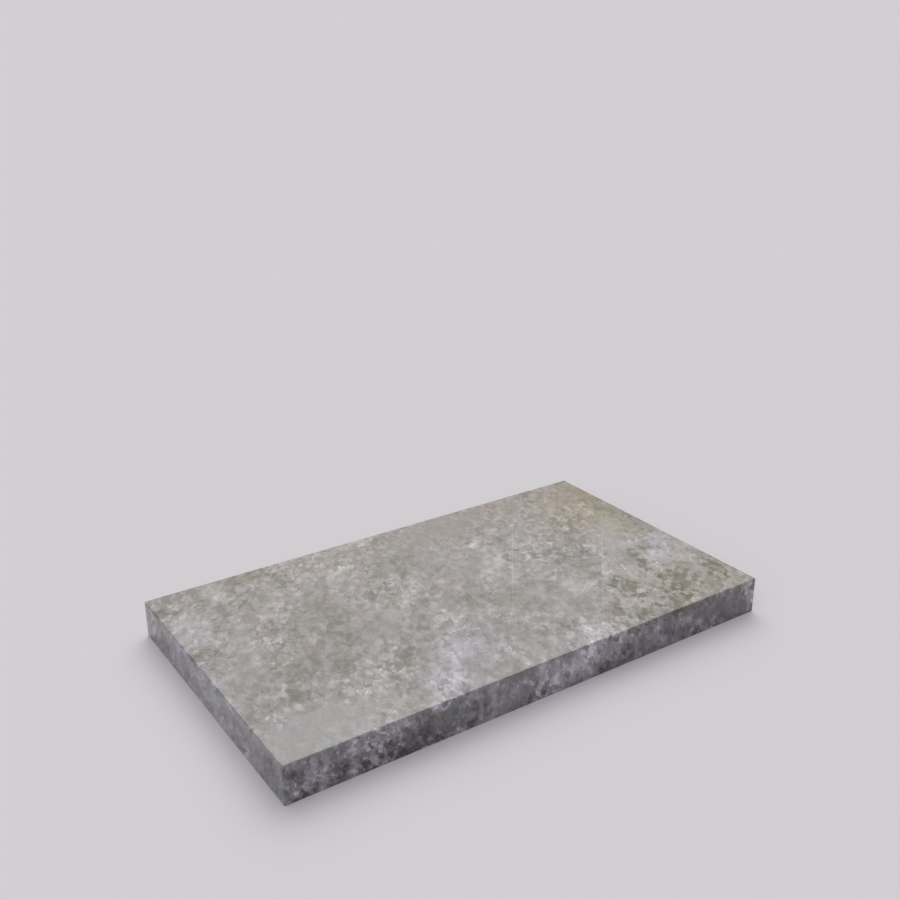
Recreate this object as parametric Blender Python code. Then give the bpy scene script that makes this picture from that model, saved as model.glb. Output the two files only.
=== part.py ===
"""A flat granite grave marker: one square-cut slab that lies face up on its bed.

The slab's long side runs along X, its short side along Y, and its polished face looks up.
All its edges are eased a little: the rim of the face, the four upright corners and the rim
of the bed each have a width of their own. The origin is the centre of the bed.
Lengths are in metres.
"""

import bmesh
import bpy

INCH = 0.0254

# The slab, a stock size that masons cut in whole inches
SLAB_LENGTH = 28 * INCH
SLAB_WIDTH = 16 * INCH
SLAB_THICKNESS = 2 * INCH

# How far each kind of edge is eased, measured along the faces that meet there
FACE_ARRIS = 0.0012
CORNER_ARRIS = 0.0015
BED_ARRIS = 0.0010
ARRIS_FACETS = 3

# Polished mid-grey granite, its colour as sRGB hex
GRANITE_COLOUR = "A39F9B"
GRANITE_ROUGHNESS = 0.2


def clear_scene():
    """Remove every object that the file opened with."""
    for thing in list(bpy.data.objects):
        bpy.data.objects.remove(thing, do_unlink=True)


def linear_colour(hex_code):
    """Return an sRGB hex colour as linear red, green, blue and a full alpha."""
    channels = [int(hex_code[i:i + 2], 16) / 255 for i in (0, 2, 4)]
    return [c / 12.92 if c <= 0.04045 else ((c + 0.055) / 1.055) ** 2.4 for c in channels] + [1.0]


def granite_material():
    """Make the plain polished granite."""
    material = bpy.data.materials.new("granite")
    material.use_nodes = True
    shader = material.node_tree.nodes["Principled BSDF"]
    shader.inputs["Base Color"].default_value = linear_colour(GRANITE_COLOUR)
    shader.inputs["Roughness"].default_value = GRANITE_ROUGHNESS
    shader.inputs["Metallic"].default_value = 0.0
    return material


def arris_width(edge):
    """Return how far an edge of the square block is eased, told by the heights of its ends."""
    lower, upper = sorted(vertex.co.z for vertex in edge.verts)
    middle = SLAB_THICKNESS / 2
    if lower > middle:
        return FACE_ARRIS
    if upper < middle:
        return BED_ARRIS
    return CORNER_ARRIS


def square_block():
    """Make the sharp block on its bed, with each edge's easing kept as a bevel weight."""
    block = bmesh.new()
    corners = bmesh.ops.create_cube(block, size=1.0)["verts"]
    bmesh.ops.translate(block, verts=corners, vec=(0, 0, 0.5))
    bmesh.ops.scale(block, verts=corners, vec=(SLAB_LENGTH, SLAB_WIDTH, SLAB_THICKNESS))
    weight = block.edges.layers.float.new("bevel_weight_edge")
    for edge in block.edges:
        edge[weight] = arris_width(edge) / widest_arris()
    mesh = bpy.data.meshes.new("granite_slab")
    block.to_mesh(mesh)
    block.free()
    return mesh


def widest_arris():
    """Return the largest easing, against which the others are weighed."""
    return max(FACE_ARRIS, CORNER_ARRIS, BED_ARRIS)


def granite_slab():
    """Build the slab: the square block with its edges eased to a small round."""
    slab = bpy.data.objects.new("granite_slab", square_block())
    bpy.context.scene.collection.objects.link(slab)
    slab.data.materials.append(granite_material())
    easing = slab.modifiers.new("eased edges", "BEVEL")
    easing.limit_method = "WEIGHT"
    easing.width = widest_arris()
    easing.segments = ARRIS_FACETS
    return slab


def main():
    """Build the whole marker."""
    clear_scene()
    granite_slab()


main()
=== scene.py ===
"""Dresses the flat granite grave marker and sets it in a plain, softly lit studio.

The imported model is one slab. The slab made here stands for it: the same block with its edges
eased, the saw's lines left in its bed, and the stone itself, a mottled grey granite with
streaks, darker and paler patches and two healed seams, polished on the face and the sides.
Lengths are in metres and colours are sRGB hex, unless a name says otherwise.
"""
import logging
import math
import random
from dataclasses import dataclass, field
from enum import Enum
from typing import Any, Callable, Iterable

import bmesh
import bpy
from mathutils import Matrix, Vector


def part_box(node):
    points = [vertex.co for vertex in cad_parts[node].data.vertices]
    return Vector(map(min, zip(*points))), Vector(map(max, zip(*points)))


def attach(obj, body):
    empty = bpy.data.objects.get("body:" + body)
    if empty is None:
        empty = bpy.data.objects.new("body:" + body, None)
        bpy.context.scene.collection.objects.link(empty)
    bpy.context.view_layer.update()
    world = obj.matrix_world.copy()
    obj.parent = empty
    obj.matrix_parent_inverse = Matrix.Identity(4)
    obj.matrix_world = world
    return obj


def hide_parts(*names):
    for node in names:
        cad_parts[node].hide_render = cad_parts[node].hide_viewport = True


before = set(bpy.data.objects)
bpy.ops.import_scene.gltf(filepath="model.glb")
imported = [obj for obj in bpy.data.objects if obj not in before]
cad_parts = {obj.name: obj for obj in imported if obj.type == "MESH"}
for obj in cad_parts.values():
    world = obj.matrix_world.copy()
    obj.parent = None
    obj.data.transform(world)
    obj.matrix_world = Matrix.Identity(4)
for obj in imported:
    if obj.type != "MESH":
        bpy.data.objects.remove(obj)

log = logging.getLogger("grave_marker")

MM = 0.001
# Two places nearer than this are taken for one
NEAR = 0.1 * MM
# A face whose normal lies lower than the first looks straight down, and lower than the second nearly so
STRAIGHT_DOWN, NEARLY_DOWN = -0.99, -0.9
SLAB_NODE = "granite_slab"
BODY = "root"

# Socket numbers of the Mix node when it mixes colours
MIX_FACTOR, MIX_A, MIX_B, MIX_RESULT = 0, 6, 7, 2
# Most values of a noise lie between these
NOISE_SPAN = (0.35, 0.65)
# Parts of a normal between which an eased edge passes over to the sides, to the ends and to the bed
SIDE_SPAN, END_SPAN, BED_SPAN = (0.85, 0.4), (0.5, 0.9), (-0.6, -0.85)


def linear(hex_code: str) -> tuple[float, float, float, float]:
    """Turn an sRGB hex colour into the linear colour that a shader takes.

    Args:
        hex_code: Six hex digits, red first.

    Returns:
        Linear red, green and blue with a full alpha.
    """
    channels = [int(hex_code[i:i + 2], 16) / 255 for i in (0, 2, 4)]
    red, green, blue = (c / 12.92 if c <= 0.04045 else ((c + 0.055) / 1.055) ** 2.4 for c in channels)
    return red, green, blue, 1.0


def per_metre(size_mm: float) -> float:
    """Give the Scale of a pattern whose features are about so many millimetres wide."""
    return 1.0 / (size_mm * MM)


def add_node(tree: bpy.types.NodeTree, kind: str, inputs: dict[Any, Any] | None = None,
             stops: Iterable[tuple[float, str]] = (), **settings: Any) -> bpy.types.Node:
    """Add a node with its settings and links.

    Args:
        tree: The node tree that the node goes into.
        kind: The node's type name.
        inputs: Socket name or number to a plain value, or to the output socket that feeds it.
        stops: For a colour ramp, the positions and hex colours of its stops, in order.
        settings: The node's own properties, such as an operation.

    Returns:
        The new node.
    """
    node = tree.nodes.new(kind)
    for name, value in settings.items():
        setattr(node, name, value)
    for socket, value in (inputs or {}).items():
        if isinstance(value, bpy.types.NodeSocket):
            tree.links.new(value, node.inputs[socket])
        else:
            node.inputs[socket].default_value = value
    for index, (position, colour) in enumerate(stops):
        stop = node.color_ramp.elements[index] if index < 2 else node.color_ramp.elements.new(position)
        stop.position = position
        stop.color = linear(colour)
    return node


class Element(Enum):
    """A kind of element of a mesh, with the name of its selection mode."""

    VERTEX = "VERT"
    EDGE = "EDGE"
    FACE = "FACE"


class Side(Enum):
    """The side of the block on which a patch shows."""

    FACE = "face"
    FRONT = "long near side"
    LEFT = "left end"


class Lay(Enum):
    """How a patch lies in the stone."""

    STAIN = "the grain shows through it"
    KNOT = "a swarm of separate clots"
    LENS = "smooth stone that hides most of the grain"
    SEAM = "a straight healed crack"


# The tint of a patch that has none
PLAIN = "FFFFFF"
# How strongly the fray pushes the rim of each kind of patch about
STRAYING = {Lay.STAIN: 2.6, Lay.KNOT: 6.0, Lay.LENS: 1.8, Lay.SEAM: 1.8}
# How deep a patch reaches. Those of the face stay shallow, so that they don't show on the sides
FACE_DEPTH, SIDE_DEPTH = 8 * MM, 12 * MM


@dataclass(frozen=True)
class Patch:
    """A body of stone whose minerals differ from the ground around it; one patch is painted shade
    instead.

    Attributes:
        name: What a mason would call it.
        side: The side of the block on which it shows.
        right_mm: How far its middle is from that side's far or upper left corner, along.
        down_mm: How far its middle is from that corner, down or towards the viewer.
        length_mm: Its longer size on that side.
        width_mm: Its shorter size there.
        turn_deg: How far its length is turned up from that side's level axis.
        shade: How much paler than the ground it is, or darker when below zero.
        tint: The tint that it lays on the stone.
        lay: How it lies in the stone.
        soft: How wide its rim fades, as a share of its half size.
    """

    name: str
    side: Side
    right_mm: float
    down_mm: float
    length_mm: float
    width_mm: float
    turn_deg: float
    shade: float
    tint: str = PLAIN
    lay: Lay = Lay.STAIN
    soft: float = 0.7

    def placing(self, low: Vector, high: Vector) -> tuple[Vector, tuple[float, float, float], Vector]:
        """Say where the patch lies in the block.

        Args:
            low: The block's lowest corner.
            high: Its highest corner.

        Returns:
            The location, turn and half sizes that carry the unit ball onto the patch.
        """
        right, down, turn = self.right_mm * MM, self.down_mm * MM, math.radians(self.turn_deg)
        length, width = self.length_mm * MM / 2, self.width_mm * MM / 2
        if self.side is Side.FACE:
            middle, half = (low.x + right, high.y - down, high.z), (length, width, FACE_DEPTH)
            return Vector(middle), (0, 0, turn), Vector(half)
        if self.side is Side.FRONT:
            middle, half = (low.x + right, low.y, high.z - down), (length, SIDE_DEPTH, width)
            return Vector(middle), (0, -turn, 0), Vector(half)
        middle, half = (low.x, high.y - right, high.z - down), (SIDE_DEPTH, length, width)
        return Vector(middle), (-turn, 0, 0), Vector(half)


@dataclass(frozen=True)
class Mottle:
    """One layer of the stone's darker and paler parts.

    Attributes:
        width_mm: How wide its parts are.
        detail: How far finer noises break up their outlines.
        weight: How far the layer moves the shade.
    """

    width_mm: float
    detail: float
    weight: float


CLOUDS, BANKS, BLOTCHES = Mottle(100.0, 1.0, 0.10), Mottle(36.0, 2.0, 0.26), Mottle(13.0, 2.0, 0.42)


@dataclass(frozen=True)
class PolishedGranite:
    """Grey granite, sawn square and then polished on the face and the sides.

    It is a tight mix of smoky quartz, grey to lavender feldspar and dark mica, so the eye sees
    smooth taupe blotches in a paler, finely flecked network. The polish leaves a clear gloss that
    pales the stone where it is seen at a low angle. The bed is left as the saw cut it: dry, paler
    and matt. Single crystals of a millimetre would be too fine to show, so the specks and grains
    drawn are as coarse as small clusters of them.

    Attributes:
        low: The block's lowest corner.
        high: Its highest corner.
        patches: The bodies of other stone in it, with one strip of painted shade along the front's foot.
        name: The material's name.
        mottles: The layers of its shade.
        harshness: How strong the finer noises are in every noise.
        grain_mm: Width of a crystal, drawn as coarse as a small cluster.
        speck_mm: Width of the finest grains, drawn as coarse as they need to show.
        ragged_mm: Width of the wiggles in the crystals' outlines.
        ragged_reach_mm: How far the wiggles go.
        hue_mm: Width of the places that lean to green or to rose.
        busy_mm: Width of the places where the grain shows more, or less.
        busy: The least and the most that it shows.
        fray_mm: Width of the frays in the patches' rims.
        bend_mm: Width of the bends in the patches' outlines.
        bend_reach_mm: How far the bends go.
        fleck_share: The share of the specks that are white.
        swarm_mm: Width of the swarms in which the white flecks lie.
        swarm_span: Values of the swarms' noise between which the flecks come in.
        stretch: How many times longer than wide the crystals and banks are.
        fabric_deg: Turns that lay the X axis along them. They dive through the block on a slant.
        crystal_weight: How far the crystals move the shade.
        speck_weight: How far the finest grains move it.
        mineral_pull: How strongly dark stone draws quartz and mica, and pale stone feldspar.
        fleck: How much paler the white flecks are.
        lens_grain: How far the grain shows in a smooth lens.
        side_grain: How far it shows on the long sides, which are cut across the crystals.
        end_grain: How far it shows on the ends.
        side_banks: How far the banks and patches show on the long sides.
        end_banks: How far they show on the ends.
        side_lean: How much of the face's lean of tints the sides have.
        side_painted_cool_light: A cool tint painted on the sides, standing for the cooler light that
            falls on them.
        ior: Refractive index of quartz and feldspar.
        polish: Roughness of the polished stone.
        polish_swing: How far that changes from place to place.
        polish_mm: Width of those places.
        polish_span: Values of their noise at the two ends of that swing.
        sawn: Roughness of the sawn bed.
        dust: The dry dust of the bed.
        dusting: How far the dust covers the bed.
        pit_mm: Width of the pits in the sawn bed.
        pit_depth_mm: Their depth.
        polished_down: What share of that depth the polish leaves.
    """

    low: Vector
    high: Vector
    patches: tuple[Patch, ...]
    name: str = "polished_granite"
    mottles: tuple[Mottle, ...] = (CLOUDS, BANKS, BLOTCHES)
    harshness: float = 0.55
    grain_mm: float = 6.8
    speck_mm: float = 2.8
    ragged_mm: float = 8.0
    ragged_reach_mm: float = 4.0
    hue_mm: float = 20.0
    busy_mm: float = 60.0
    busy: tuple[float, float] = (0.55, 1.35)
    fray_mm: float = 9.0
    bend_mm: float = 45.0
    bend_reach_mm: float = 9.0
    fleck_share: float = 0.1
    swarm_mm: float = 70.0
    swarm_span: tuple[float, float] = (0.42, 0.62)
    stretch: float = 2.2
    fabric_deg: tuple[float, float, float] = (0.0, 42.0, 62.5)
    crystal_weight: float = 0.52
    speck_weight: float = 0.11
    mineral_pull: float = 2.0
    fleck: float = 0.11
    lens_grain: float = 0.42
    side_grain: float = 1.5
    end_grain: float = 1.2
    side_banks: float = 1.2
    end_banks: float = 0.8
    side_lean: float = 0.2
    # A cool tint painted on the sides, standing for the cooler light that falls on them
    side_painted_cool_light: str = "F4F3FE"
    ior: float = 1.54
    polish: float = 0.18
    polish_swing: float = 0.03
    polish_mm: float = 60.0
    polish_span: tuple[float, float] = (0.3, 0.7)
    sawn: float = 0.72
    dust: str = "ACA9A5"
    dusting: float = 0.45
    pit_mm: float = 2.0
    pit_depth_mm: float = 0.3
    polished_down: float = 1 / 60

    def material(self) -> bpy.types.Material:
        """Make the stone's material.

        Returns:
            The material.
        """
        stone = bpy.data.materials.new(self.name)
        stone.use_nodes = True
        tree = stone.node_tree
        shader = tree.nodes["Principled BSDF"]
        shader.inputs["IOR"].default_value = self.ior
        place = add_node(tree, "ShaderNodeTexCoord")
        fabric = add_node(tree, "ShaderNodeMapping", {
            "Vector": place.outputs["Object"],
            "Rotation": [math.radians(turn) for turn in self.fabric_deg],
            "Scale": (self.stretch, 1.0, 1.0),
        }, vector_type="TEXTURE").outputs["Vector"]
        sides, ends, bed = self.facings(tree, place.outputs["Normal"])
        shade, bold, tint = self.ground(tree, place.outputs["Object"], fabric, sides)
        shown = add_node(tree, "ShaderNodeMath", {
            0: bold, 1: self.by_side(tree, sides, ends, self.side_grain, self.end_grain),
        }, operation="MULTIPLY").outputs["Value"]
        spread = self.by_side(tree, sides, ends, self.side_banks, self.end_banks)
        tone = self.grained(tree, fabric, shade, shown, spread)
        colour = self.coloured(tree, tone, tint, sides, bed)
        tree.links.new(colour, shader.inputs["Base Color"])
        self.surface(tree, shader, place.outputs["Object"], bed)
        return stone

    def facings(self, tree: bpy.types.NodeTree,
                normal: bpy.types.NodeSocket) -> tuple[bpy.types.NodeSocket, ...]:
        """Tell the block's sides apart by the way they look.

        Args:
            tree: The stone's node tree.
            normal: The block's own normal.

        Returns:
            1 on the four sides, 1 on the two ends alone and 1 on the bed, each 0 elsewhere.
        """
        facing = add_node(tree, "ShaderNodeSeparateXYZ", {"Vector": normal})
        level, endways = (
            add_node(tree, "ShaderNodeMath", {
                0: facing.outputs[axis],
            }, operation="ABSOLUTE").outputs["Value"]
            for axis in "ZX")
        sides, ends, bed = (
            add_node(tree, "ShaderNodeMapRange", {
                "Value": value, "From Min": span[0], "From Max": span[1],
            }).outputs["Result"]
            for value, span in ((level, SIDE_SPAN), (endways, END_SPAN), (facing.outputs["Z"], BED_SPAN)))
        return sides, ends, bed

    def by_side(self, tree: bpy.types.NodeTree, sides: bpy.types.NodeSocket, ends: bpy.types.NodeSocket,
                side: float, end: float) -> bpy.types.NodeSocket:
        """Give a value that is 1 on the face and the bed and differs on the sides.

        Args:
            tree: The stone's node tree.
            sides: 1 on the four sides, 0 elsewhere.
            ends: 1 on the two ends, 0 elsewhere.
            side: The value on the long sides.
            end: The value on the ends.

        Returns:
            The value at each place.
        """
        value = 1.0
        for share, there in ((sides, side), (ends, end)):
            value = add_node(tree, "ShaderNodeMapRange", {
                "Value": share, "To Min": value, "To Max": there,
            }).outputs["Result"]
        return value

    def strayed(self, tree: bpy.types.NodeTree, place: bpy.types.NodeSocket, size_mm: float,
                reach_mm: float) -> bpy.types.NodeSocket:
        """Shift the coordinates here and there, so that no outline runs smooth or straight.

        Args:
            tree: The stone's node tree.
            place: The coordinates.
            size_mm: How wide the wiggles are.
            reach_mm: How far they go, from one side to the other.

        Returns:
            The shifted coordinates.
        """
        wiggle = add_node(tree, "ShaderNodeTexNoise", {
            "Vector": place, "Scale": per_metre(size_mm), "Detail": 3.0, "Roughness": self.harshness,
        })
        centred = add_node(tree, "ShaderNodeVectorMath", {
            0: wiggle.outputs["Color"], 1: (0.5, 0.5, 0.5),
        }, operation="SUBTRACT")
        return add_node(tree, "ShaderNodeVectorMath", {
            0: centred.outputs["Vector"], 1: [2 * reach_mm * MM] * 3, 2: place,
        }, operation="MULTIPLY_ADD").outputs["Vector"]

    def summed(self, tree: bpy.types.NodeTree,
               layers: Iterable[tuple[bpy.types.NodeSocket, float]], total: Any = 0.5) -> Any:
        """Add layers that each swing about a half to a total, each by its weight.

        Args:
            tree: The stone's node tree.
            layers: The layers, each with its weight.
            total: What they are added to.

        Returns:
            The sum.
        """
        for layer, weight in layers:
            centred = add_node(tree, "ShaderNodeMath", {0: layer, 1: 0.5}, operation="SUBTRACT")
            total = add_node(tree, "ShaderNodeMath", {
                0: centred.outputs["Value"], 1: weight, 2: total,
            }, operation="MULTIPLY_ADD").outputs["Value"]
        return total

    def mottled(self, tree: bpy.types.NodeTree, fabric: bpy.types.NodeSocket) -> bpy.types.NodeSocket:
        """Lay the clouds, the banks and the blotches over one another.

        Args:
            tree: The stone's node tree.
            fabric: The block's own coordinates, laid along the banks.

        Returns:
            The shade, from 0 dark to 1 pale.
        """
        layers = []
        for mottle in self.mottles:
            layer = add_node(tree, "ShaderNodeTexNoise", {
                "Vector": fabric, "Scale": per_metre(mottle.width_mm), "Detail": mottle.detail,
                "Roughness": self.harshness,
            })
            layers.append((layer.outputs["Fac"], mottle.weight))
        return self.summed(tree, layers)

    def ground(self, tree: bpy.types.NodeTree, place: bpy.types.NodeSocket, fabric: bpy.types.NodeSocket,
               sides: bpy.types.NodeSocket) -> tuple[bpy.types.NodeSocket, ...]:
        """Lay out the mottles and the patches.

        Args:
            tree: The stone's node tree.
            place: The block's own coordinates.
            fabric: The same, laid along the banks.
            sides: 1 on the four sides, 0 elsewhere.

        Returns:
            The shade, from 0 dark to 1 pale; how far the grain shows; and the tint.
        """
        hue, mood, rim = (
            add_node(tree, "ShaderNodeTexNoise", {
                "Vector": fabric, "Scale": per_metre(size_mm), "Detail": detail,
                "Roughness": self.harshness,
            }).outputs["Fac"]
            for size_mm, detail in ((self.hue_mm, 2.0), (self.busy_mm, 2.0), (self.fray_mm, 4.0)))
        shade = self.mottled(tree, fabric)
        tint = add_node(tree, "ShaderNodeValToRGB", {"Fac": hue}, stops=(
            (NOISE_SPAN[0], "F8FAF7"),
            (NOISE_SPAN[1], "FAF8FA"),
        )).outputs["Color"]
        bold = add_node(tree, "ShaderNodeMapRange", {
            "Value": mood, "From Min": NOISE_SPAN[0], "From Max": NOISE_SPAN[1],
            "To Min": self.busy[0], "To Max": self.busy[1],
        }).outputs["Result"]
        fray = add_node(tree, "ShaderNodeMath", {0: rim, 1: 0.5}, operation="SUBTRACT").outputs["Value"]
        bent = self.strayed(tree, place, self.bend_mm, self.bend_reach_mm)
        for patch in self.patches:
            share = self.share(tree, place if patch.lay is Lay.SEAM else bent, fray, patch)
            if patch.lay is Lay.LENS:
                shade, bold = (
                    add_node(tree, "ShaderNodeMapRange", {
                        "Value": share, "To Min": around, "To Max": within,
                    }).outputs["Result"]
                    for around, within in ((shade, 0.5 + patch.shade), (bold, self.lens_grain)))
            else:
                shade = add_node(tree, "ShaderNodeMath", {
                    0: share, 1: patch.shade, 2: shade,
                }, operation="MULTIPLY_ADD").outputs["Value"]
            if patch.tint != PLAIN:
                tint = add_node(tree, "ShaderNodeMix", {
                    MIX_FACTOR: share, MIX_A: tint, MIX_B: linear(patch.tint),
                }, data_type="RGBA", blend_type="MULTIPLY").outputs[MIX_RESULT]
        # On the face, dark stone leans to taupe and pale stone to lavender
        lean = add_node(tree, "ShaderNodeValToRGB", {"Fac": shade}, stops=(
            (0.36, "FFFEF7"),
            (0.64, "F7F7FF"),
        ))
        leaning = add_node(tree, "ShaderNodeMapRange", {
            "Value": sides, "To Min": 1.0, "To Max": self.side_lean,
        })
        tint = add_node(tree, "ShaderNodeMix", {
            MIX_FACTOR: leaning.outputs["Result"], MIX_A: tint, MIX_B: lean.outputs["Color"],
        }, data_type="RGBA", blend_type="MULTIPLY").outputs[MIX_RESULT]
        return shade, bold, tint

    def share(self, tree: bpy.types.NodeTree, start: bpy.types.NodeSocket,
              fray: bpy.types.NodeSocket, patch: Patch) -> bpy.types.NodeSocket:
        """Give how much of the stone is a patch's own, from 0 outside it to 1 inside.

        Args:
            tree: The stone's node tree.
            start: The coordinates in which the patch is an ellipsoid.
            fray: A noise about zero that makes its rim stray.
            patch: The patch.

        Returns:
            The share.
        """
        location, rotation, half = patch.placing(self.low, self.high)
        near = add_node(tree, "ShaderNodeMapping", {
            "Vector": start, "Location": location, "Rotation": rotation, "Scale": half,
        }, vector_type="TEXTURE")
        reach = add_node(tree, "ShaderNodeVectorMath", {0: near.outputs["Vector"]}, operation="LENGTH")
        frayed = add_node(tree, "ShaderNodeMath", {
            0: fray, 1: STRAYING[patch.lay], 2: reach.outputs["Value"],
        }, operation="MULTIPLY_ADD")
        return add_node(tree, "ShaderNodeMapRange", {
            "Value": frayed.outputs["Value"],
            "From Min": 1.0 + patch.soft / 2, "From Max": 1.0 - patch.soft / 2,
        }, interpolation_type="SMOOTHSTEP").outputs["Result"]

    def grained(self, tree: bpy.types.NodeTree, fabric: bpy.types.NodeSocket,
                shade: bpy.types.NodeSocket, shown: bpy.types.NodeSocket,
                spread: bpy.types.NodeSocket) -> bpy.types.NodeSocket:
        """Break the shade up into crystals, which lie along the banks.

        Args:
            tree: The stone's node tree.
            fabric: The block's own coordinates, laid along the banks.
            shade: The mean shade of the stone at each place.
            shown: How far the grain shows there.
            spread: How far the banks and patches show there.

        Returns:
            The shade of the crystal at each place, from 0 dark to 1 pale.
        """
        rough = self.strayed(tree, fabric, self.ragged_mm, self.ragged_reach_mm)
        coarse, speck = (
            add_node(tree, "ShaderNodeSeparateXYZ", {
                "Vector": add_node(tree, "ShaderNodeTexVoronoi", {
                    "Vector": rough, "Scale": per_metre(size_mm),
                }).outputs["Color"],
            }).outputs["X"]
            for size_mm in (self.grain_mm, self.speck_mm))
        # Dark stone holds more quartz and mica, pale stone more feldspar
        kind = self.summed(tree, ((coarse, 1.0), (shade, self.mineral_pull)))
        # The greys stand for the shades of mica, smoky quartz and grey, lavender and white feldspar
        crystal = add_node(tree, "ShaderNodeValToRGB", {"Fac": kind}, stops=(
            (0.00, "8C8C8C"),
            (0.12, "ADADAD"),
            (0.45, "C5C5C5"),
            (0.80, "D2D2D2"),
            (0.93, "E4E4E4"),
        ))
        crystal.color_ramp.interpolation = "CONSTANT"
        # Some specks are small white feldspars, in swarms
        white = add_node(tree, "ShaderNodeMath", {
            0: speck, 1: 1.0 - self.fleck_share,
        }, operation="GREATER_THAN")
        crowd = add_node(tree, "ShaderNodeTexNoise", {
            "Vector": fabric, "Scale": per_metre(self.swarm_mm), "Detail": 1.0,
            "Roughness": self.harshness,
        })
        swarm = add_node(tree, "ShaderNodeMapRange", {
            "Value": crowd.outputs["Fac"], "From Min": self.swarm_span[0], "From Max": self.swarm_span[1],
            "To Max": self.fleck,
        }, interpolation_type="SMOOTHSTEP")
        flecks = add_node(tree, "ShaderNodeMath", {
            0: white.outputs["Value"], 1: swarm.outputs["Result"],
        }, operation="MULTIPLY")
        grain = self.summed(tree, (
            (crystal.outputs["Color"], self.crystal_weight),
            (speck, self.speck_weight),
        ), flecks.outputs["Value"])
        banks = self.summed(tree, ((shade, spread),))
        return add_node(tree, "ShaderNodeMath", {
            0: grain, 1: shown, 2: banks,
        }, operation="MULTIPLY_ADD").outputs["Value"]

    def coloured(self, tree: bpy.types.NodeTree, tone: bpy.types.NodeSocket, tint: bpy.types.NodeSocket,
                 sides: bpy.types.NodeSocket, bed: bpy.types.NodeSocket) -> bpy.types.NodeSocket:
        """Turn the shade of the crystals into the stone's colour.

        Args:
            tree: The stone's node tree.
            tone: The shade, from 0 dark to 1 pale.
            tint: The tint at each place.
            sides: 1 on the four sides, 0 elsewhere.
            bed: 1 on the bed, 0 elsewhere.

        Returns:
            The colour.
        """
        colour = add_node(tree, "ShaderNodeValToRGB", {"Fac": tone}, stops=(
            (0.00, "42403D"),
            (0.25, "66635F"),
            (0.50, "8C8986"),
            (0.75, "B3B0AD"),
            (1.00, "DAD7D4"),
        )).outputs["Color"]
        # The sides take a painted cool tint, standing for the cooler light that falls on them
        for share, dye in ((1.0, tint), (sides, linear(self.side_painted_cool_light))):
            colour = add_node(tree, "ShaderNodeMix", {
                MIX_FACTOR: share, MIX_A: colour, MIX_B: dye,
            }, data_type="RGBA", blend_type="MULTIPLY").outputs[MIX_RESULT]
        dusting = add_node(tree, "ShaderNodeMath", {0: bed, 1: self.dusting}, operation="MULTIPLY")
        return add_node(tree, "ShaderNodeMix", {
            MIX_FACTOR: dusting.outputs["Value"], MIX_A: colour, MIX_B: linear(self.dust),
        }, data_type="RGBA").outputs[MIX_RESULT]

    def surface(self, tree: bpy.types.NodeTree, shader: bpy.types.Node, place: bpy.types.NodeSocket,
                bed: bpy.types.NodeSocket) -> None:
        """Polish the face and the sides, and leave the bed sawn.

        Args:
            tree: The stone's node tree.
            shader: The stone's shader.
            place: The block's own coordinates.
            bed: 1 on the bed, 0 elsewhere.
        """
        wiped, pits = (
            add_node(tree, "ShaderNodeTexNoise", {
                "Vector": place, "Scale": per_metre(size_mm), "Detail": detail,
                "Roughness": self.harshness,
            }).outputs["Fac"]
            for size_mm, detail in ((self.polish_mm, 2.0), (self.pit_mm, 1.0)))
        polished = add_node(tree, "ShaderNodeMapRange", {
            "Value": wiped, "From Min": self.polish_span[0], "From Max": self.polish_span[1],
            "To Min": self.polish - self.polish_swing, "To Max": self.polish + self.polish_swing,
        })
        depth = self.pit_depth_mm * MM
        roughness, distance = (
            add_node(tree, "ShaderNodeMapRange", {
                "Value": bed, "To Min": above, "To Max": below,
            }).outputs["Result"]
            for above, below in (
                (polished.outputs["Result"], self.sawn), (depth * self.polished_down, depth)))
        relief = add_node(tree, "ShaderNodeBump", {"Height": pits, "Distance": distance})
        tree.links.new(roughness, shader.inputs["Roughness"])
        tree.links.new(relief.outputs["Normal"], shader.inputs["Normal"])


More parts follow.
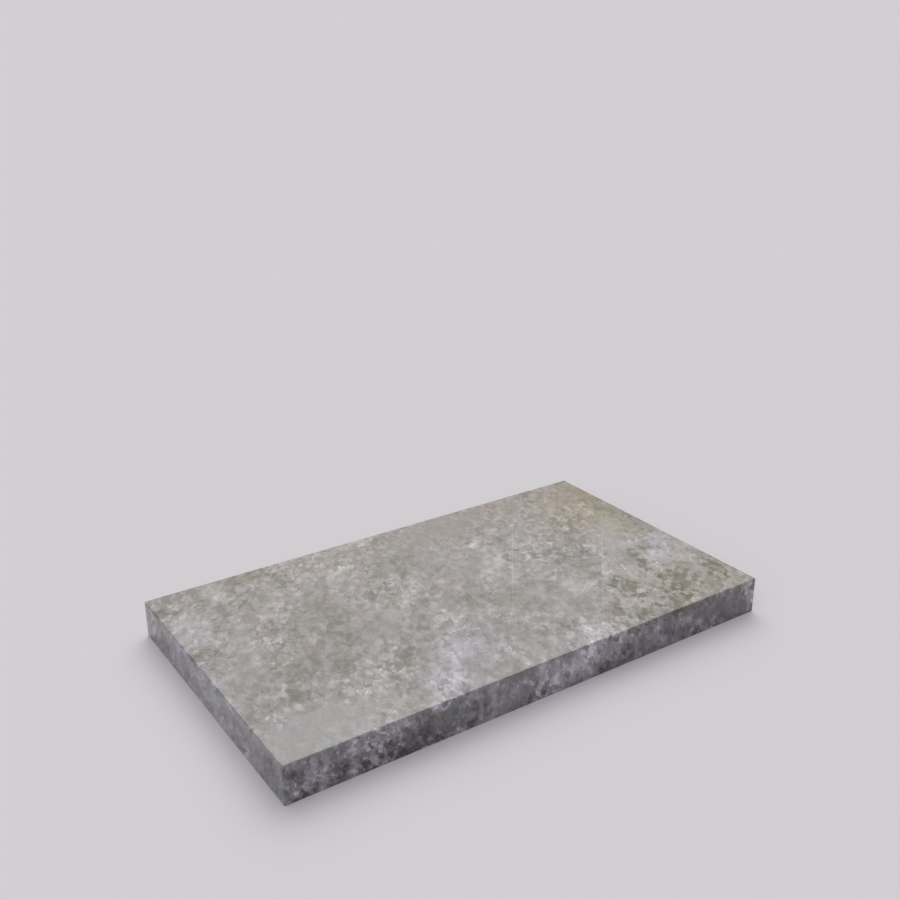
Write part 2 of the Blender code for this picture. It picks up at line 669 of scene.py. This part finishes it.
@dataclass
class GraniteSlab:
    """The marker: one square-cut block with eased edges and a sawn bed.

    Attributes:
        low: The block's lowest corner in the frame.
        high: Its highest corner.
        finish: The stone.
        face_arris: How far the rim of the face is eased.
        corner_arris: How far the four upright corners are eased.
        bed_arris: How far the rim of the bed is eased.
        arris_facets: The facets of each eased edge.
        wide_weight: How far the wide faces' normals win over the narrow facets' along their rims.
        saw_rim: How far inside the bed's rim the saw's lines end.
        saw_run_out: How far they take to reach their depth.
        saw_depth: How deep they go.
        saw_width: How wide they are.
        saw_pitch: The least and the greatest distance from one to the next.
        seed: Settles where they lie.
        name: The piece's name.
    """

    low: Vector
    high: Vector
    finish: PolishedGranite
    face_arris: float = 1.2 * MM
    corner_arris: float = 1.5 * MM
    bed_arris: float = 1.0 * MM
    arris_facets: int = 4
    wide_weight: int = 100
    saw_rim: float = 6.0 * MM
    saw_run_out: float = 30.0 * MM
    saw_depth: float = 0.25 * MM
    saw_width: float = 2.4 * MM
    saw_pitch: tuple[float, float] = (6.0 * MM, 15.0 * MM)
    seed: int = 7
    name: str = "polished_granite_slab"
    piece: bpy.types.Object = field(init=False)

    def build(self) -> bpy.types.Object:
        """Model the slab, dress it and set it in the frame.

        Returns:
            The slab.
        """
        self.rough_out()
        bpy.ops.object.mode_set(mode="EDIT")
        for width, chosen in (
            (self.corner_arris, lambda a, b: abs(a.z - b.z) > MM),
            (self.face_arris, lambda a, b: min(a.z, b.z) > self.high.z - NEAR),
            (self.bed_arris, lambda a, b: max(a.z, b.z) < self.low.z + NEAR),
        ):
            self.select(Element.EDGE, lambda edge: chosen(*(vertex.co for vertex in edge.verts)))
            bpy.ops.mesh.bevel(offset=width, segments=self.arris_facets, affect="EDGES")
        self.saw_bed()
        bpy.ops.object.mode_set(mode="OBJECT")
        self.smooth()
        self.piece.data.materials.append(self.finish.material())
        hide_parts(SLAB_NODE)
        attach(self.piece, BODY)
        return self.piece

    def rough_out(self) -> None:
        """Add the sharp block at its size and place."""
        bpy.ops.object.select_all(action="DESELECT")
        bpy.ops.mesh.primitive_cube_add(size=1.0, location=(self.low + self.high) / 2,
                                        scale=self.high - self.low)
        self.piece = bpy.context.object
        self.piece.name = self.piece.data.name = self.name
        bpy.ops.object.transform_apply(location=True, rotation=True, scale=True)

    def select(self, kind: Element, chosen: Callable[[Any], bool]) -> None:
        """Select the chosen elements of the slab and nothing else, in edit mode.

        Args:
            kind: The kind of element.
            chosen: Says of an element whether it is selected.
        """
        bpy.ops.mesh.select_mode(type=kind.value)
        bpy.ops.mesh.select_all(action="DESELECT")
        mesh = bmesh.from_edit_mesh(self.piece.data)
        elements = {Element.VERTEX: mesh.verts, Element.EDGE: mesh.edges, Element.FACE: mesh.faces}
        for element in elements[kind]:
            element.select_set(chosen(element))
        bmesh.update_edit_mesh(self.piece.data)

    def saw_lines(self) -> list[float]:
        """Draw where the saw's lines lie across the bed.

        Returns:
            The place of each line along Y.
        """
        draw = random.Random(self.seed)
        margin = self.saw_rim + self.saw_width
        lines = []
        line = self.low.y + margin + draw.uniform(*self.saw_pitch)
        while line < self.high.y - margin:
            lines.append(line)
            line += draw.uniform(*self.saw_pitch)
        return lines

    def saw_bed(self) -> None:
        """Leave the shallow lines of the saw in the bed, which end short of its rim."""
        lines = self.saw_lines()
        along, across = Vector((1.0, 0.0, 0.0)), Vector((0.0, 1.0, 0.0))
        for corner, side in ((self.low, 1), (self.high, -1)):
            for way in (along, across):
                self.cut_bed(corner + way * side * self.saw_rim, way, 0.0)
        for line in lines:
            for offset in (-self.saw_width / 2, 0.0, self.saw_width / 2):
                self.cut_bed(across * (line + offset), across, self.saw_rim)
        start = self.low.x + self.saw_rim + self.saw_run_out
        end = self.high.x - self.saw_rim - self.saw_run_out
        for x in (start, end):
            self.cut_bed(along * x, along, self.saw_rim)
        self.select(Element.VERTEX, lambda vertex: (
            start - NEAR < vertex.co.x < end + NEAR
            and vertex.co.z < self.low.z + NEAR
            and any(abs(vertex.co.y - line) < NEAR for line in lines)))
        bpy.ops.transform.translate(value=(0.0, 0.0, self.saw_depth))

    def cut_bed(self, place: Vector, across: Vector, rim: float) -> None:
        """Cut the faces of the bed along a straight line.

        Args:
            place: A point on the line.
            across: The level direction at right angles to it.
            rim: Only faces that lie this far inside the block's outline are cut.
        """
        low, high = (corner.xy for corner in (self.low, self.high))
        inset = rim - NEAR
        self.select(Element.FACE, lambda face: face.normal.z < STRAIGHT_DOWN and all(
            low.x + inset < vertex.co.x < high.x - inset and low.y + inset < vertex.co.y < high.y - inset
            for vertex in face.verts))
        bpy.ops.mesh.bisect(plane_co=place, plane_no=across)

    def smooth(self) -> None:
        """Shade the eased edges round, and keep the wide faces flat and the saw's lines crisp."""
        bpy.ops.object.select_all(action="DESELECT")
        self.piece.select_set(True)
        bpy.context.view_layer.objects.active = self.piece
        bpy.ops.object.shade_smooth()
        bpy.ops.object.mode_set(mode="EDIT")
        top = self.low.z + self.saw_depth + NEAR
        self.select(Element.FACE, lambda face: (
            face.normal.z < NEARLY_DOWN and all(vertex.co.z < top for vertex in face.verts)))
        bpy.ops.mesh.faces_shade_flat()
        bpy.ops.object.mode_set(mode="OBJECT")
        flatten = self.piece.modifiers.new("flat faces", "WEIGHTED_NORMAL")
        flatten.weight = self.wide_weight
        flatten.keep_sharp = True
        bpy.ops.object.modifier_apply(modifier=flatten.name)


@dataclass(frozen=True)
class StudioFloor:
    """A plain pale floor of matt painted board, which soaks up glare and shows a soft shadow.

    Attributes:
        reach: How far it goes each way.
        colour: The paint.
        roughness: Roughness of the matt paint.
    """

    reach: float = 400.0
    colour: str = "D3D2D5"
    roughness: float = 0.9

    def build(self) -> bpy.types.Object:
        """Lay the floor at the height on which the slab rests.

        Returns:
            The floor.
        """
        bpy.ops.object.select_all(action="DESELECT")
        bpy.ops.mesh.primitive_plane_add(size=2 * self.reach)
        floor = bpy.context.object
        floor.name = "studio_floor"
        board = bpy.data.materials.new("matt_painted_board")
        board.use_nodes = True
        shader = board.node_tree.nodes["Principled BSDF"]
        shader.inputs["Base Color"].default_value = linear(self.colour)
        shader.inputs["Roughness"].default_value = self.roughness
        shader.inputs["Specular IOR Level"].default_value = 0.0
        floor.data.materials.append(board)
        return floor


@dataclass(frozen=True)
class SoftGlow:
    """A broad diffused lamp, far off, whose light fades evenly from its middle.

    Attributes:
        name: What it does.
        toward: The way to its middle.
        tightness: How fast it fades, as a power of the cosine.
        strength: How bright its middle is.
        colour: The colour of its light.
    """

    name: str
    toward: tuple[float, float, float]
    tightness: float
    strength: float
    colour: str


@dataclass(frozen=True)
class StudioSky:
    """The room's light: dim walls and a few broad glows, behind a plain backdrop.

    Attributes:
        glows: The broad lamps.
        walls: The light of the room's walls.
        backdrop: What the camera sees past the floor's edge.
    """

    glows: tuple[SoftGlow, ...]
    walls: tuple[float, float, float] = (0.10, 0.10, 0.115)
    backdrop: str = "D2CED2"

    def build(self) -> bpy.types.World:
        """Light the room.

        Returns:
            The world.
        """
        world = bpy.data.worlds.new("studio_sky")
        bpy.context.scene.world = world
        world.use_nodes = True
        tree = world.node_tree
        way = add_node(tree, "ShaderNodeTexCoord").outputs["Generated"]
        light = self.walls
        for glow in self.glows:
            facing = add_node(tree, "ShaderNodeVectorMath", {
                0: way, 1: Vector(glow.toward).normalized(),
            }, operation="DOT_PRODUCT")
            ahead = add_node(tree, "ShaderNodeMath", {0: facing.outputs["Value"], 1: 0.0},
                             operation="MAXIMUM")
            fade = add_node(tree, "ShaderNodeMath", {0: ahead.outputs["Value"], 1: glow.tightness},
                            operation="POWER")
            light = add_node(tree, "ShaderNodeVectorMath", {
                0: fade.outputs["Value"], 1: Vector(linear(glow.colour)[:3]) * glow.strength, 2: light,
            }, operation="MULTIPLY_ADD").outputs["Vector"]
        room = add_node(tree, "ShaderNodeBackground", {"Color": light})
        backdrop = add_node(tree, "ShaderNodeBackground", {"Color": linear(self.backdrop)})
        seen = add_node(tree, "ShaderNodeMixShader", {
            0: add_node(tree, "ShaderNodeLightPath").outputs["Is Camera Ray"],
            1: room.outputs["Background"],
            2: backdrop.outputs["Background"],
        })
        tree.links.new(seen.outputs["Shader"], tree.nodes["World Output"].inputs["Surface"])
        bpy.context.scene.view_settings.view_transform = "Standard"
        return world


@dataclass(frozen=True)
class PhotoCamera:
    """The camera at the photograph's viewing angle, level and unshifted.

    Attributes:
        azimuth_deg: How far it stands round the slab from straight in front.
        elevation_deg: How far it looks down.
        distance: From the camera to the floor at the middle of the picture.
        aim: That place on the floor.
        view_deg: Its angle of view.
    """

    azimuth_deg: float = -34.175
    elevation_deg: float = 21.794
    distance: float = 2.0537
    aim: tuple[float, float, float] = (0.3467, 0.5255, 0.0)
    view_deg: float = 45.0

    def build(self) -> bpy.types.Object:
        """Set up the camera and make it the scene's own.

        Returns:
            The camera.
        """
        data = bpy.data.cameras.new("photo_camera")
        data.angle = math.radians(self.view_deg)
        camera = bpy.data.objects.new("photo_camera", data)
        bpy.context.scene.collection.objects.link(camera)
        around, up = math.radians(self.azimuth_deg), math.radians(self.elevation_deg)
        back = Vector((math.sin(around) * math.cos(up), -math.cos(around) * math.cos(up), math.sin(up)))
        camera.location = Vector(self.aim) + back * self.distance
        camera.rotation_euler = (-back).to_track_quat("-Z", "Y").to_euler()
        bpy.context.scene.camera = camera
        return camera


# Tints of the kinds of stone in the patches
LAVENDER, VIOLET, ROSE, ROSE_BROWN = "F9F9FF", "F5F4FF", "FFF7F5", "FFFAF2"
TAN, OLIVE, GREENISH, COOL = "FFFCED", "FFFFEB", "F6FCF8", "FAFBFF"

# Patches of other stone, with one strip of painted shade along the foot of the front
STONE_PATCHES_AND_PAINTED_SHADE = (
    Patch("tan stain of the far right corner", Side.FACE, 680, 80, 220, 180, 60, 0.0, TAN),
    Patch("tan stain of the right edge", Side.FACE, 702, 112, 200, 70, 80, -0.06, TAN),
    Patch("rose-brown bank", Side.FACE, 642, 95, 190, 85, 48, 0.0, ROSE_BROWN),
    Patch("tan haze of the far edge", Side.FACE, 430, 14, 700, 100, 0, 0.0, "FFFDF6"),
    Patch("rose streak by the far edge", Side.FACE, 514, 38, 95, 42, 52, 0.0, ROSE),
    Patch("cool ground of the near left", Side.FACE, 200, 330, 440, 200, 10, 0.0, COOL),
    Patch("pale lens of the far left", Side.FACE, 85, 35, 62, 26, 80, 0.10),
    Patch("pale lens of the left edge", Side.FACE, 22, 108, 80, 56, 70, 0.12),
    Patch("pale streak of the far edge", Side.FACE, 262, 62, 80, 20, 52, 0.05),
    Patch("pale nick of the far edge", Side.FACE, 327, 4, 36, 22, 40, 0.12),
    Patch("pale band of the middle", Side.FACE, 443, 165, 105, 30, 52, 0.10),
    Patch("pale wisp of the middle", Side.FACE, 500, 98, 130, 24, 12, 0.07),
    Patch("pale band of the right", Side.FACE, 645, 178, 85, 30, 50, 0.04),
    Patch("pale patch of the right", Side.FACE, 503, 284, 52, 36, 80, 0.11),
    Patch("pale patch of the near edge", Side.FACE, 446, 378, 46, 40, 30, 0.11),
    Patch("lavender bank of the near edge", Side.FACE, 268, 346, 200, 86, 48, 0.03, LAVENDER),
    Patch("pale crest of the lavender bank", Side.FACE, 270, 324, 60, 26, 50, 0.04),
    Patch("pale foot of the lavender bank", Side.FACE, 220, 374, 96, 36, 40, 0.09),
    Patch("bright lavender lens", Side.FACE, 662, 268, 104, 34, 50, 0.17, VIOLET),
    Patch("smooth flake beside the long seam", Side.FACE, 632, 198, 110, 38, 50, 0.05, lay=Lay.LENS),
    Patch("smooth green-grey corner", Side.FACE, 60, 375, 190, 72, 3, 0.05, "F5FBF9", Lay.LENS, 0.4),
    Patch("dusky ground of the left", Side.FACE, 145, 212, 210, 90, 55, -0.08),
    Patch("dusky ground of the middle", Side.FACE, 295, 122, 140, 66, 45, -0.06),
    Patch("dusky streak of the far middle", Side.FACE, 342, 95, 70, 36, 60, -0.05),
    Patch("dusky streak by the short seam", Side.FACE, 511, 98, 66, 22, 50, -0.07),
    Patch("dusky streak by the long seam", Side.FACE, 556, 196, 120, 46, 55, -0.08),
    Patch("dusky streak of the near middle", Side.FACE, 385, 285, 130, 46, 55, -0.05),
    Patch("dusky streak before the lavender bank", Side.FACE, 236, 292, 120, 40, 50, -0.06),
    Patch("smooth ground of the far middle", Side.FACE, 450, 36, 190, 74, 10, -0.02,
          lay=Lay.LENS, soft=1.0),
    Patch("dusky streak of the near left", Side.FACE, 150, 290, 120, 44, 50, -0.05),
    Patch("cool ground of the left edge", Side.FACE, 22, 190, 280, 90, 85, 0.0, COOL),
    Patch("lavender haze of the near middle", Side.FACE, 405, 372, 130, 80, 20, 0.0, COOL),
    Patch("olive ground of the near right corner", Side.FACE, 650, 345, 190, 150, 20, 0.0, "FFFDF3"),
    Patch("dark knot of the left", Side.FACE, 216, 296, 72, 26, 52, -0.11),
    Patch("dark nook of the far left", Side.FACE, 14, 44, 40, 24, 0, -0.13),
    Patch("brown nook of the far edge", Side.FACE, 144, 14, 62, 22, 10, -0.10, ROSE_BROWN),
    Patch("dark nook of the left edge", Side.FACE, 18, 164, 44, 24, 20, -0.12),
    Patch("dark bar of the left edge", Side.FACE, 32, 308, 80, 28, 5, -0.09),
    Patch("dark knot of the middle", Side.FACE, 363, 235, 44, 34, 0, -0.12),
    Patch("dark knot of the near edge", Side.FACE, 412, 352, 50, 28, 10, -0.12),
    Patch("olive knots", Side.FACE, 552, 324, 52, 28, 70, -0.23, OLIVE, Lay.KNOT),
    Patch("great olive knots", Side.FACE, 620, 354, 76, 40, 62, -0.20, "FFFFF1", Lay.KNOT),
    Patch("near olive knots", Side.FACE, 582, 388, 50, 24, 40, -0.20, OLIVE, Lay.KNOT),
    Patch("olive foot", Side.FACE, 530, 390, 40, 18, 20, -0.18, OLIVE, Lay.KNOT),
    Patch("olive fringe", Side.FACE, 498, 366, 46, 28, 60, -0.19, OLIVE, Lay.KNOT),
    Patch("olive nook of the near right corner", Side.FACE, 690, 348, 48, 24, 70, -0.22, OLIVE, Lay.KNOT),
    Patch("olive stem", Side.FACE, 614, 286, 66, 14, 68, -0.22, OLIVE, Lay.KNOT),
    Patch("small knots of the near right corner", Side.FACE, 660, 380, 60, 24, 50, -0.12, lay=Lay.KNOT),
    Patch("pale ground among the olive knots", Side.FACE, 600, 330, 200, 110, 30, 0.03),
    Patch("pale ground of the near right corner", Side.FACE, 690, 385, 110, 60, 30, 0.03),
    Patch("green stain of the left", Side.FACE, 205, 282, 52, 28, 20, 0.0, GREENISH),
    Patch("green streak of the right", Side.FACE, 642, 256, 78, 22, 46, 0.0, GREENISH),
    Patch("long healed seam", Side.FACE, 560, 265, 310, 2.0, 48.8, 0.08, lay=Lay.SEAM),
    Patch("pale margin of the long seam", Side.FACE, 572, 266, 290, 18, 48.8, 0.04),
    Patch("short healed seam", Side.FACE, 460, 190, 245, 1.8, 52.8, 0.09, lay=Lay.SEAM),
    Patch("dark clump", Side.FRONT, 66, 26, 30, 26, 60, -0.12, lay=Lay.KNOT),
    Patch("dark foot", Side.FRONT, 75, 48, 80, 18, 0, -0.10, lay=Lay.KNOT),
    Patch("pale head", Side.FRONT, 110, 10, 56, 22, 10, 0.06),
    Patch("dark bank", Side.FRONT, 185, 32, 130, 50, 8, -0.10),
    Patch("dark clots of the bank", Side.FRONT, 160, 34, 90, 36, 8, -0.08, lay=Lay.KNOT),
    Patch("smooth greenish blob", Side.FRONT, 204, 24, 40, 26, 30, -0.13, GREENISH, Lay.LENS),
    Patch("pale bank", Side.FRONT, 395, 20, 110, 36, 35, 0.12),
    Patch("dark foot of the middle", Side.FRONT, 447, 47, 80, 18, 0, -0.09, lay=Lay.KNOT),
    Patch("smooth brown bank", Side.FRONT, 606, 14, 60, 26, -20, -0.09, "FFFBF7", Lay.LENS),
    Patch("smooth purple bank", Side.FRONT, 662, 28, 110, 46, -25, -0.10, LAVENDER, Lay.LENS),
    Patch("purple streaks", Side.FRONT, 543, 26, 36, 16, 50, -0.02, VIOLET),
    # Painted shade: the front is darkened along its whole foot, where the floor beside it gives less
    # light
    Patch("dusky foot of the whole front", Side.FRONT, 355, 50, 760, 34, 0, -0.03),
    Patch("dusky ground of the front's right", Side.FRONT, 560, 30, 220, 60, 0, -0.04),
    Patch("dark low bank", Side.LEFT, 46, 40, 70, 22, 30, -0.06),
    Patch("lavender streak", Side.LEFT, 122, 20, 60, 18, 38, 0.04, LAVENDER),
    Patch("pale greenish head", Side.LEFT, 225, 16, 150, 36, 20, 0.07, GREENISH),
    Patch("dark greenish heel", Side.LEFT, 385, 32, 70, 46, 45, -0.10, GREENISH),
)

STUDIO_GLOWS = (
    SoftGlow("overhead", (0.1, 0.1, 1.0), 4.0, 0.58, "FFFCF6"),
    SoftGlow("high and behind, for the gloss of the face", (0.4, 0.6, 0.9), 8.0, 2.8, "FFFBF6"),
    SoftGlow("high in front", (-0.6, -0.5, 0.7), 6.0, 0.90, "FFFCF8"),
    SoftGlow("low fill for the left end", (-0.96, -0.2, 0.2), 3.0, 0.64, "F6F2FF"),
    SoftGlow("low fill for the front", (-0.2, -0.96, 0.2), 3.0, 0.41, "D6D8FF"),
)


def main() -> None:
    """Build the slab, then the studio around it."""
    logging.basicConfig(level=logging.INFO, format="%(message)s")
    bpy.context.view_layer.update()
    low, high = (Vector(corner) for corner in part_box(SLAB_NODE))
    slab = GraniteSlab(low, high, PolishedGranite(low, high, STONE_PATCHES_AND_PAINTED_SHADE))
    for piece in (slab.build(), StudioFloor().build()):
        log.info("%s: %d faces", piece.name, len(piece.data.polygons))
    StudioSky(STUDIO_GLOWS).build()
    PhotoCamera().build()


if __name__ == "__main__":
    main()
